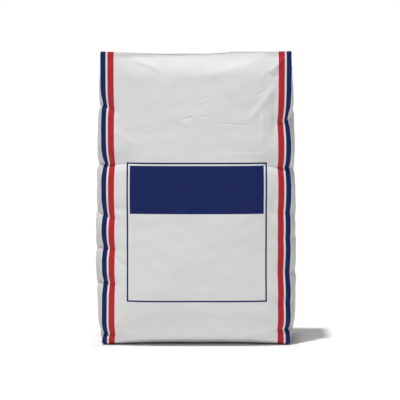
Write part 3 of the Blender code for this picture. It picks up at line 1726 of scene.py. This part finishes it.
@dataclass
class EndClosure:
    """One folded end: the two long flaps over the short ones, and the cover sheet.

    Attributes:
        wall: The top or the bottom.
        form: The filled form.
        flap_ply: Thickness of a flap.
        patch_ply: Thickness of the cover sheet.
        patch_length: Length of the cover sheet.
        patch_width: Its width.
        lift: Distance from the sack's closed end up to a flap.
        glue: Distance from a flap up to the cover sheet.
    """

    wall: Wall
    form: FilledForm
    flap_ply: float = 0.00038
    patch_ply: float = 0.00038
    patch_length: float = 0.300
    patch_width: float = 0.096
    lift: float = 0.0001
    glue: float = 0.0001

    @property
    def label(self) -> str:
        """The end's word in the pieces' names."""
        return self.wall.name.lower()

    def build_flaps(self, paper: bpy.types.Object) -> list[bpy.types.Object]:
        """Build the long flaps of the front and of the back."""
        return [self._flap(paper, -1, "front"), self._flap(paper, 1, "back")]

    def _flap(self, paper: bpy.types.Object, side: int, word: str) -> bpy.types.Object:
        """Build one long flap, cut off at 45 degrees at both corners.

        Args:
            paper: The finished sack.
            side: Side of Y that the flap is folded from.
            word: That side's word.

        Returns:
            The flap's mesh.
        """
        x, y = self.form.half_face, self.form.half_side
        corners = [
            Cut((x, side * y, 0), (1, -side, 0)),
            Cut((-x, side * y, 0), (-1, -side, 0)),
            Cut((0, 0, 0), (0, -side, 0)),
        ]
        sheet = GluedSheet(
            f"{self.label}_flap_{word}",
            self.wall,
            corners,
            self.lift,
            self.flap_ply,
            rises_from=lambda points: y - side * points[:, 1],
        )
        return sheet.build(paper)

    def build_patch(self, paper: bpy.types.Object) -> bpy.types.Object:
        """Build the cover sheet that is glued over the flaps.

        Args:
            paper: The finished sack.

        Returns:
            The sheet's mesh.
        """
        x, y = self.patch_length / 2, self.patch_width / 2
        edges = [
            Cut((x, 0, 0), (1, 0, 0)),
            Cut((-x, 0, 0), (-1, 0, 0)),
            Cut((0, y, 0), (0, 1, 0)),
            Cut((0, -y, 0), (0, -1, 0)),
        ]
        above_flaps = self.lift + self.flap_ply + self.glue
        name = f"{self.label}_cover_sheet"
        return GluedSheet(name, self.wall, edges, above_flaps, self.patch_ply).build(paper)


@dataclass
class BackSeam:
    """The glued lap that closes the tube along its back.

    Attributes:
        edge: Where the upper layer ends, across the back.
        width: How far the lap reaches from there.
        low: Height at which it starts.
        high: Height at which it ends.
        ply: Thickness of the upper layer.
    """

    edge: float = 0.155
    width: float = 0.035
    low: float = 0.004
    high: float = 0.595
    ply: float = 0.0005

    def build(self, paper: bpy.types.Object) -> bpy.types.Object:
        """Build the lap's upper layer.

        Args:
            paper: The finished sack.

        Returns:
            The layer's mesh.
        """
        inner = self.edge - self.width
        cuts = [
            Cut((self.edge, 0, 0), (1, 0, 0)),
            Cut((inner, 0, 0), (-1, 0, 0)),
            Cut((0, 0, self.low), (0, 0, -1)),
            Cut((0, 0, self.high), (0, 0, 1)),
        ]
        sheet = GluedSheet(
            "back_seam",
            Wall.BACK,
            cuts,
            self.ply,
            self.ply,
            rises_from=lambda points: points[:, 0] - inner,
            rise=self.width / 2,
        )
        return sheet.build(paper)


@dataclass
class ValveSleeve:
    """The flat kraft tube that the bag was filled through, pressed shut.

    Attributes:
        form: The filled form.
        length: Length of the tube.
        width: Its width, lying flat.
        drop: Depth of its middle under the top.
        mouth: How far its lips stand open.
        pressed: Thickness of the tube further in.
        opening: Share of the length over which the mouth closes.
        pinch: How far its two edges are pressed together.
        pinch_power: How close to the edges that begins.
        proud: How far the lips stand out of the side wall.
        ply: Thickness of its paper.
        ripple: Height of the ripples in the lips.
        ripple_turn: Angle that they go through from the middle to an edge.
        ripple_reach: Share of the length over which they fade.
        cells: Cells that the tube is divided into each way.
        edge_angle: Angle between faces from which an edge is sharp.
    """

    form: FilledForm
    length: float = 0.130
    width: float = 0.088
    drop: float = 0.0065
    mouth: float = 0.0026
    pressed: float = 0.0012
    opening: float = 0.12
    pinch: float = 0.6
    pinch_power: int = 6
    proud: float = -0.0010
    ply: float = 0.0004
    ripple: float = 0.00035
    ripple_turn: float = 7
    ripple_reach: float = 0.2
    cells: int = 15
    edge_angle: float = math.radians(50)

    def build(self) -> bpy.types.Object:
        """Build the tube, open at both its ends.

        Returns:
            The tube's mesh, without its material.
        """
        piece = unit_cube("valve_tube")
        bpy.ops.object.mode_set(mode="EDIT")
        bpy.ops.mesh.subdivide(number_cuts=self.cells)
        bpy.ops.object.mode_set(mode="OBJECT")
        edit_faces(piece, lambda face: abs(face.normal.x) > 0.5)
        bpy.ops.mesh.delete(type="FACE")
        bpy.ops.object.mode_set(mode="OBJECT")
        set_positions(piece.data, self._shaped(positions(piece.data)))
        wall = piece.modifiers.new("ply", "SOLIDIFY")
        wall.thickness = self.ply
        wall.offset = -1.0
        apply_modifiers(piece)
        bpy.ops.object.shade_smooth_by_angle(angle=self.edge_angle)
        return piece

    def _shaped(self, box: np.ndarray) -> np.ndarray:
        """Flatten a unit box's points into the tube and put them in the bag's top.

        Args:
            box: The box's points.

        Returns:
            The tube's points.
        """
        inward, aside, level = 0.5 - box[:, 0], 2 * box[:, 1], 2 * box[:, 2]
        y = aside * self.width / 2
        deep = y / self.form.half_side
        near_top = np.full_like(y, 1 - self.drop / self.form.height)
        bulge = self.form.side_bulge * self.form.load(near_top)
        wall = self.form.half_face + bulge * (1 - np.abs(deep) ** self.form.side_power)
        x = wall + self.proud - inward * self.length
        across = np.clip(x / self.form.half_face, -1, 1)
        height = self.form.height - self.form.sag(across, deep) - self.drop
        thick = self.pressed + (self.mouth - self.pressed) * np.exp(-inward / self.opening)
        thick = thick * (1 - self.pinch * np.abs(aside) ** self.pinch_power)
        ripples = np.sin(aside * self.ripple_turn + level) * np.exp(-inward / self.ripple_reach)
        z = height + level * thick / 2 + self.ripple * ripples
        return np.stack([x, y, z], axis=1)


# The studio


@dataclass
class Studio:
    """Floor, lights and camera.

    Attributes:
        form: The filled form that stands on the floor.
        distance: From the camera to the middle of the bag.
        eye: Height of the camera.
        aside: How far the camera stands to the right of the bag's middle.
        frame_width: Width of the picture at the bag's front.
        shift: Share of the picture by which it is moved down without tilting.
        aim: Height that the middle of the picture looks at.
        floor_size: Length and width of the floor.
        fill: Strength of the light from all round.
        flags: How far to a side a direction points where that light starts and ends to fade.
        front: How much stronger that light is from the front.
        front_edge: How far forward a direction points where that begins and is full.
        front_turn: How far its middle is turned to the left.
        key: Strength of the soft key light.
        key_from: Direction that it comes from.
        key_angle: How widely its light is spread.
    """

    form: FilledForm
    distance: float = 3.6
    eye: float = 0.670
    aside: float = 0.0078
    frame_width: float = 0.8060
    shift: float = -0.085
    aim: float = 0.2961
    floor_size: float = 60
    fill: float = 0.38
    flags: Range = (0.20, 0.75)
    front: float = 0.52
    front_edge: Range = (0.3, 0.92)
    front_turn: float = 0.15
    key: float = 3.3
    key_from: tuple[float, float, float] = (-0.140, -0.140, 0.98)
    key_angle: float = math.radians(2.8)

    def build(self) -> None:
        """Set up the whole studio."""
        self._floor()
        self._world()
        self._lights()
        self._camera()

    def _floor(self) -> None:
        """A wide pale floor under the bag."""
        deselect_all()
        bpy.ops.mesh.primitive_plane_add(size=self.floor_size, location=(0, 0, CAD_LOW.z))
        floor = bpy.context.active_object
        floor.name = "studio_floor"
        finish = PaleFloor(self.form.half_face, self.form.half_side)
        floor.data.materials.append(finish.material())
        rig.stage(floor)

    def _world(self) -> None:
        """White light from all round, dimmed at the sides, before a plain white ground."""
        world = bpy.data.worlds.new("studio")
        world.use_nodes = True
        tree = world.node_tree
        shade = tree.nodes["Background"]
        bench = Bench(tree)
        seen = bench.node("ShaderNodeLightPath", output="Is Camera Ray")
        way = bench.node("ShaderNodeTexCoord", output="Generated")
        right, back = bench.axis(way, "X"), bench.axis(way, "Y")
        front = back * -1.0 - right * self.front_turn
        light = self.fill * (1 - abs(right).rise(*self.flags))
        light = light + self.front * front.rise(*self.front_edge)
        strength = light + seen * (1 - light)
        tree.links.new(strength.socket, shade.inputs["Strength"])
        shade.inputs["Color"].default_value = (1, 1, 1, 1)
        bpy.context.scene.world = world
        bpy.context.scene.view_settings.view_transform = "Standard"

    def _lights(self) -> None:
        """A large soft key from the upper left."""
        data = bpy.data.lights.new("key", "SUN")
        data.energy = self.key
        data.angle = self.key_angle
        light = bpy.data.objects.new("key", data)
        light.rotation_euler = (-Vector(self.key_from)).to_track_quat("-Z", "Y").to_euler()
        bpy.context.scene.collection.objects.link(light)

    def _camera(self) -> None:
        """A long lens in front of the bag, a little above its top."""
        data = bpy.data.cameras.new("camera")
        near = self.distance + CAD_LOW.y
        data.lens = data.sensor_width * near / self.frame_width
        data.shift_y = self.shift
        camera = bpy.data.objects.new("camera", data)
        camera.location = (self.aside, -self.distance, self.eye)
        axis_height = self.aim - self.shift * self.frame_width
        tilt = math.atan2(self.eye - axis_height, self.distance)
        camera.rotation_euler = (math.pi / 2 - tilt, 0, 0)
        bpy.context.scene.collection.objects.link(camera)
        bpy.context.scene.camera = camera


# Where the bag is pinched and folded

FRONT_PUCKERS = [
    Pucker(Corner.FRONT_LEFT, 0.4960, 0.0080, 0.0060, above=0.040, below=0.022, face_slant=-0.55),
    Pucker(Corner.FRONT_LEFT, 0.3750, 0.0085, 0.0070, above=0.050, below=0.045, face_slant=-0.1),
    Pucker(Corner.FRONT_LEFT, 0.2700, 0.0070, 0.0060, above=0.050, below=0.035, face_slant=-0.35),
    Pucker(Corner.FRONT_LEFT, 0.2020, 0.0060, 0.0050, above=0.035, below=0.035, face_slant=-0.2),
    Pucker(Corner.FRONT_LEFT, 0.1310, 0.0062, 0.0055, above=0.035, below=0.045, face_slant=-0.2),
    Pucker(Corner.FRONT_LEFT, 0.0215, 0.0085, 0.0045, above=0.028, below=0.0190, nick=0.0026),
    Pucker(Corner.FRONT_RIGHT, 0.4650, 0.0080, 0.0075, above=0.070, below=0.055, face_slant=-0.35),
    Pucker(Corner.FRONT_RIGHT, 0.3655, 0.0065, 0.0060, above=0.045, below=0.050),
    Pucker(Corner.FRONT_RIGHT, 0.2729, 0.0030, 0.0030, sharpness=1.6, nick=0.0004),
    Pucker(Corner.FRONT_RIGHT, 0.2190, 0.0022, 0.0025, above=0.030, below=0.024, nick=0.0003),
    Pucker(Corner.FRONT_RIGHT, 0.1500, 0.0040, 0.0035, below=0.060, sharpness=1.6, nick=0.0003),
    Pucker(Corner.FRONT_RIGHT, 0.0860, 0.0022, 0.0025, above=0.030, below=0.030, nick=0.0003),
    Pucker(Corner.FRONT_RIGHT, 0.0310, 0.0085, 0.0045, above=0.024, below=0.0250, nick=0.0026),
]

BACK_PUCKERS = [
    Pucker(Corner.BACK_LEFT, 0.478, 0.0070, 0.0065, above=0.060, below=0.050, face_slant=-0.4),
    Pucker(Corner.BACK_LEFT, 0.362, 0.0080, 0.0070, above=0.050, below=0.045, face_slant=-0.1),
    Pucker(Corner.BACK_LEFT, 0.281, 0.0050, 0.0050, above=0.040, below=0.035, face_slant=0.2),
    Pucker(Corner.BACK_LEFT, 0.188, 0.0065, 0.0055, above=0.045, below=0.045, face_slant=-0.2),
    Pucker(Corner.BACK_LEFT, 0.103, 0.0055, 0.0050, above=0.035, below=0.040),
    Pucker(Corner.BACK_LEFT, 0.026, 0.0070, 0.0060, above=0.045, below=0.022),
    Pucker(Corner.BACK_RIGHT, 0.505, 0.0060, 0.0055, above=0.045, below=0.040, face_slant=-0.5),
    Pucker(Corner.BACK_RIGHT, 0.421, 0.0065, 0.0060, above=0.045, below=0.045, face_slant=-0.2),
    Pucker(Corner.BACK_RIGHT, 0.352, 0.0075, 0.0065, above=0.040, below=0.050),
    Pucker(Corner.BACK_RIGHT, 0.236, 0.0070, 0.0060, above=0.050, below=0.045, face_slant=-0.3),
    Pucker(Corner.BACK_RIGHT, 0.142, 0.0060, 0.0050, above=0.045, below=0.040, face_slant=0.1),
    Pucker(Corner.BACK_RIGHT, 0.029, 0.0075, 0.0060, above=0.050, below=0.025),
]

FRONT_FOLDS = [
    # The slack top edge rolls forward over a hollow that catches the light
    Fold(
        Wall.FRONT, (-0.205, 0.5925), (0.205, 0.5955), -0.0122,
        left=0.040, right=0.044, taper=0.28,
    ),
    Fold(
        Wall.FRONT, (-0.186, 0.5890), (-0.080, 0.5900), -0.0009,
        left=0.010, right=0.012, crest=1.6,
    ),
    Fold(Wall.FRONT, (0.134, 0.5905), (0.194, 0.5900), -0.0016, left=0.010, right=0.010, crest=1.5),
    # The folds that run down from the upper left corner
    Fold(
        Wall.FRONT, (-0.140, 0.5890), (-0.060, 0.5550), 0.0020,
        left=0.016, right=0.008, bow=0.003,
    ),
    Fold(
        Wall.FRONT, (-0.158, 0.5680), (-0.085, 0.5320), 0.0007,
        left=0.016, right=0.020, crest=1.8,
    ),
    # The fan of folds that pull at the upper right corner
    Fold(Wall.FRONT, (0.160, 0.5950), (-0.010, 0.5470), 0.0015, left=0.022, right=0.018, bow=0.003),
    Fold(Wall.FRONT, (0.142, 0.5540), (0.188, 0.5940), 0.0026, left=0.011, right=0.005, fine=True),
    Fold(Wall.FRONT, (0.176, 0.5560), (0.150, 0.5520), -0.0012, left=0.010, right=0.012, crest=1.8),
    Fold(Wall.FRONT, (0.147, 0.5740), (0.127, 0.5340), 0.0011, left=0.006, right=0.007),
    Fold(Wall.FRONT, (0.117, 0.5085), (0.143, 0.5265), -0.0007, left=0.004, right=0.003, fine=True),
    Fold(
        Wall.FRONT, (0.167, 0.5480), (0.098, 0.4550), 0.0021,
        left=0.014, right=0.010, bow=0.004, crest=1.6,
    ),
    Fold(Wall.FRONT, (0.136, 0.5000), (0.141, 0.4000), 0.0018, left=0.012, right=0.010, bow=-0.003),
    Fold(Wall.FRONT, (0.160, 0.5400), (0.158, 0.4050), -0.0026, left=0.010, right=0.014),
    # Small wrinkles over the panel
    Fold(
        Wall.FRONT, (0.030, 0.4570), (0.122, 0.4500), -0.0005,
        left=0.003, right=0.004, bow=0.002, fine=True,
    ),
    Fold(Wall.FRONT, (0.118, 0.4530), (0.124, 0.4340), -0.0006, left=0.004, right=0.004),
    Fold(Wall.FRONT, (-0.002, 0.4965), (0.037, 0.5080), 0.0005, left=0.003, right=0.003, fine=True),
    Fold(
        Wall.FRONT, (-0.031, 0.4650), (0.001, 0.4705), -0.0008,
        left=0.004, right=0.004, fine=True,
    ),
    Fold(Wall.FRONT, (0.004, 0.4700), (0.033, 0.4725), -0.0006, left=0.003, right=0.003, fine=True),
    Fold(Wall.FRONT, (-0.034, 0.4590), (-0.006, 0.4510), 0.0006, left=0.007, right=0.005),
    Fold(Wall.FRONT, (-0.105, 0.4370), (-0.074, 0.4500), 0.0006, left=0.006, right=0.005),
    Fold(Wall.FRONT, (-0.113, 0.4580), (-0.083, 0.4770), -0.0005, left=0.006, right=0.005),
    Fold(
        Wall.FRONT, (-0.176, 0.4480), (-0.120, 0.4110), 0.0011,
        left=0.013, right=0.014, crest=1.6,
    ),
    Fold(Wall.FRONT, (0.040, 0.3935), (0.158, 0.3950), 0.0005, left=0.006, right=0.010),
    Fold(Wall.FRONT, (0.075, 0.3995), (0.155, 0.3990), -0.0004, left=0.005, right=0.004),
    # The level crease across the bag at the top of the panel
    Fold(
        Wall.FRONT, (-0.212, 0.3715), (-0.085, 0.3765), -0.0050,
        left=0.036, right=0.017, taper=0.6,
    ),
    Fold(Wall.FRONT, (0.088, 0.3755), (0.212, 0.3640), -0.0050, left=0.034, right=0.017, taper=0.6),
    Fold(
        Wall.FRONT, (-0.206, 0.3715), (-0.126, 0.3758), -0.0012,
        left=0.004, right=0.003, fine=True,
    ),
    Fold(Wall.FRONT, (0.126, 0.3722), (0.210, 0.3642), -0.0014, left=0.004, right=0.003, fine=True),
    Fold(Wall.FRONT, (-0.150, 0.3765), (0.150, 0.3745), -0.0009, left=0.030, right=0.012),
    # Dents beside the panel and at the feet
    Fold(
        Wall.FRONT, (-0.176, 0.2860), (-0.140, 0.2760), -0.0014,
        left=0.014, right=0.012, crest=1.8,
    ),
    Fold(Wall.FRONT, (-0.170, 0.1880), (-0.140, 0.1600), -0.0013, left=0.006, right=0.010),
    Fold(Wall.FRONT, (0.158, 0.3250), (0.156, 0.2550), -0.0018, left=0.014, right=0.012, crest=1.8),
    Fold(Wall.FRONT, (0.118, 0.0820), (0.150, 0.0890), -0.0005, left=0.004, right=0.006),
    Fold(Wall.FRONT, (0.090, 0.0060), (0.172, 0.0380), -0.0030, left=0.009, right=0.014),
    Fold(Wall.FRONT, (-0.170, 0.0360), (-0.105, 0.0120), -0.0018, left=0.012, right=0.010),
]

BACK_FOLDS = [
    # The top edge hangs back here too
    Fold(Wall.BACK, (-0.178, 0.602), (0.175, 0.602), -0.0085, left=0.050, right=0.042, taper=0.32),
    Fold(Wall.BACK, (-0.150, 0.5960), (-0.020, 0.5950), 0.0018, left=0.009, right=0.008, crest=1.8),
    Fold(Wall.BACK, (0.010, 0.5950), (0.110, 0.5950), 0.0018, left=0.009, right=0.008, crest=1.8),
    # Folds that pull at the upper corners
    Fold(
        Wall.BACK, (-0.165, 0.5900), (-0.030, 0.5350), 0.0020,
        left=0.020, right=0.018, bow=-0.003,
    ),
    Fold(Wall.BACK, (-0.172, 0.5760), (-0.110, 0.5050), -0.0018, left=0.011, right=0.010),
    Fold(Wall.BACK, (0.168, 0.5860), (0.060, 0.5520), 0.0018, left=0.016, right=0.016),
    Fold(Wall.BACK, (0.172, 0.5620), (0.125, 0.4900), 0.0018, left=0.012, right=0.010, bow=0.003),
    Fold(Wall.BACK, (0.150, 0.5200), (0.152, 0.4300), -0.0024, left=0.012, right=0.012),
    # Small wrinkles
    Fold(Wall.BACK, (-0.080, 0.4700), (-0.020, 0.4820), -0.0008, left=0.005, right=0.005),
    Fold(Wall.BACK, (-0.045, 0.5010), (0.010, 0.4950), 0.0007, left=0.005, right=0.005),
    Fold(Wall.BACK, (0.060, 0.4300), (0.105, 0.4420), 0.0008, left=0.006, right=0.006),
    Fold(Wall.BACK, (-0.150, 0.4420), (-0.095, 0.4200), 0.0012, left=0.010, right=0.010),
    Fold(Wall.BACK, (0.020, 0.2150), (0.090, 0.2200), -0.0007, left=0.008, right=0.006),
    # Level creases between the pinches
    Fold(
        Wall.BACK, (-0.212, 0.3600), (-0.080, 0.3660), -0.0048,
        left=0.032, right=0.018, taper=0.6,
    ),
    Fold(Wall.BACK, (0.085, 0.3560), (0.212, 0.3500), -0.0042, left=0.030, right=0.018, taper=0.6),
    Fold(Wall.BACK, (-0.140, 0.3640), (0.140, 0.3570), -0.0010, left=0.030, right=0.014),
    Fold(
        Wall.BACK, (-0.205, 0.1880), (-0.120, 0.1940), -0.0022,
        left=0.018, right=0.012, taper=0.5,
    ),
    Fold(Wall.BACK, (0.125, 0.2420), (0.205, 0.2350), -0.0022, left=0.018, right=0.012, taper=0.5),
    # The feet
    Fold(Wall.BACK, (-0.175, 0.0400), (-0.095, 0.0080), -0.0026, left=0.012, right=0.010),
    Fold(Wall.BACK, (0.100, 0.0080), (0.172, 0.0360), -0.0026, left=0.010, right=0.012),
]

END_FOLDS = [
    # The front edge stands higher on the right and at both its corners
    Fold(Wall.TOP, (0.010, -0.056), (0.280, -0.056), 0.0034, left=0.035, right=0.035, taper=0.3),
    Fold(Wall.TOP, (-0.250, -0.056), (-0.130, -0.056), 0.0014, left=0.035, right=0.035),
    # Dents where the folded corners of the top pull down to its slack middle
    Fold(Wall.TOP, (-0.180, -0.045), (-0.080, 0.000), -0.0016, left=0.014, right=0.012, crest=1.6),
    Fold(Wall.TOP, (-0.178, 0.044), (-0.090, 0.004), 0.0012, left=0.012, right=0.012, crest=1.6),
    Fold(Wall.TOP, (0.175, 0.045), (0.060, 0.006), -0.0014, left=0.014, right=0.014, crest=1.6),
    Fold(Wall.TOP, (-0.060, -0.020), (0.050, -0.012), -0.0012, left=0.016, right=0.014, crest=1.8),
    Fold(Wall.TOP, (-0.020, 0.024), (0.090, 0.018), 0.0010, left=0.012, right=0.014, crest=1.6),
    # The groove in the side that the valve's lips stand in
    Fold(
        Wall.RIGHT, (-0.047, 0.5932), (0.047, 0.5932), -0.0024,
        left=0.0035, right=0.0035, taper=0.06,
    ),
]


# The valleys across the narrow sides: their depth for each metre that the shallower
# pinch at their two ends goes in, how far from the middle of the side they start, the
# widths of their upper and lower slopes, and the share over which their ends fade
VALLEY_DEPTH = 0.44
VALLEY_END = 0.056
VALLEY_ABOVE = 0.024
VALLEY_BELOW = 0.014
VALLEY_TAPER = 0.3

# Broad and small unevenness of the filling
UNEVENNESS = [Undulation(0.0007, 0.11, seed=3), Undulation(0.00022, 0.035, seed=8)]


def side_folds(puckers: list[Pucker]) -> list[Fold]:
    """Fold the narrow sides between the pinches in their two creases.

    Args:
        puckers: The pinches in all four creases.

    Returns:
        A valley across the side from every front pinch to the nearest back one.
    """
    folds = []
    for wall, side in ((Wall.LEFT, -1), (Wall.RIGHT, 1)):
        beside = [pucker for pucker in puckers if pucker.corner.value[0] == side]
        back = [pucker for pucker in beside if pucker.corner.value[1] > 0]
        for front in (pucker for pucker in beside if pucker.corner.value[1] < 0):
            other = min(back, key=lambda pucker: abs(pucker.height - front.height))
            height = -VALLEY_DEPTH * min(front.inwards, other.inwards)
            start, end = (-VALLEY_END, front.height), (VALLEY_END, other.height)
            slopes = {"left": VALLEY_ABOVE, "right": VALLEY_BELOW, "taper": VALLEY_TAPER}
            folds.append(Fold(wall, start, end, height, **slopes))
    return folds


def write_sizes() -> None:
    """Write the CAD box and the visual model's box for comparison."""
    low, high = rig.bounds()
    boxes = {
        "cad": [list(CAD_LOW), list(CAD_HIGH)],
        "visual": [list(low), list(high)],
    }
    with open("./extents.json", "w", encoding="utf-8") as out:
        json.dump(boxes, out)


def main() -> None:
    """Build the bag piece by piece, and the studio around it."""
    logging.basicConfig(level=logging.INFO, format="%(message)s")
    form = FilledForm.from_frame()
    printed = PrintedPaper().material()
    plain = SheetPaper().material()
    puckers = FRONT_PUCKERS + BACK_PUCKERS
    sack = Sack(
        form,
        puckers=puckers,
        folds=FRONT_FOLDS + BACK_FOLDS + END_FOLDS + side_folds(puckers),
        unevenness=UNEVENNESS,
    )
    paper = sack.build()
    fill = CementFill().build(paper, sack)
    settle(fill, CementPowder().material(), "cement_powder")
    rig.replaces(fill, "cement")
    sack.refine(paper)
    for wall, node in ((Wall.TOP, "top_patch"), (Wall.BOTTOM, "bottom_patch")):
        closure = EndClosure(wall, form)
        for flap in closure.build_flaps(paper):
            settle(flap, printed, "printed_paper")
        patch = closure.build_patch(paper)
        settle(patch, plain, "sheet_paper")
        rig.replaces(patch, node)
    seam = BackSeam().build(paper)
    settle(seam, printed, "printed_paper")
    sack.clear_ends(paper)
    clear_places(paper)
    settle(paper, printed, "printed_paper")
    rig.replaces(paper, "sack")
    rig.padded(paper, fill=sack.tightness)
    sleeve = ValveSleeve(form).build()
    settle(sleeve, KraftPaper().material(), "kraft_paper")
    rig.replaces(sleeve, "valve_sleeve")
    Studio(form).build()
    write_sizes()


if __name__ == "__main__":
    main()
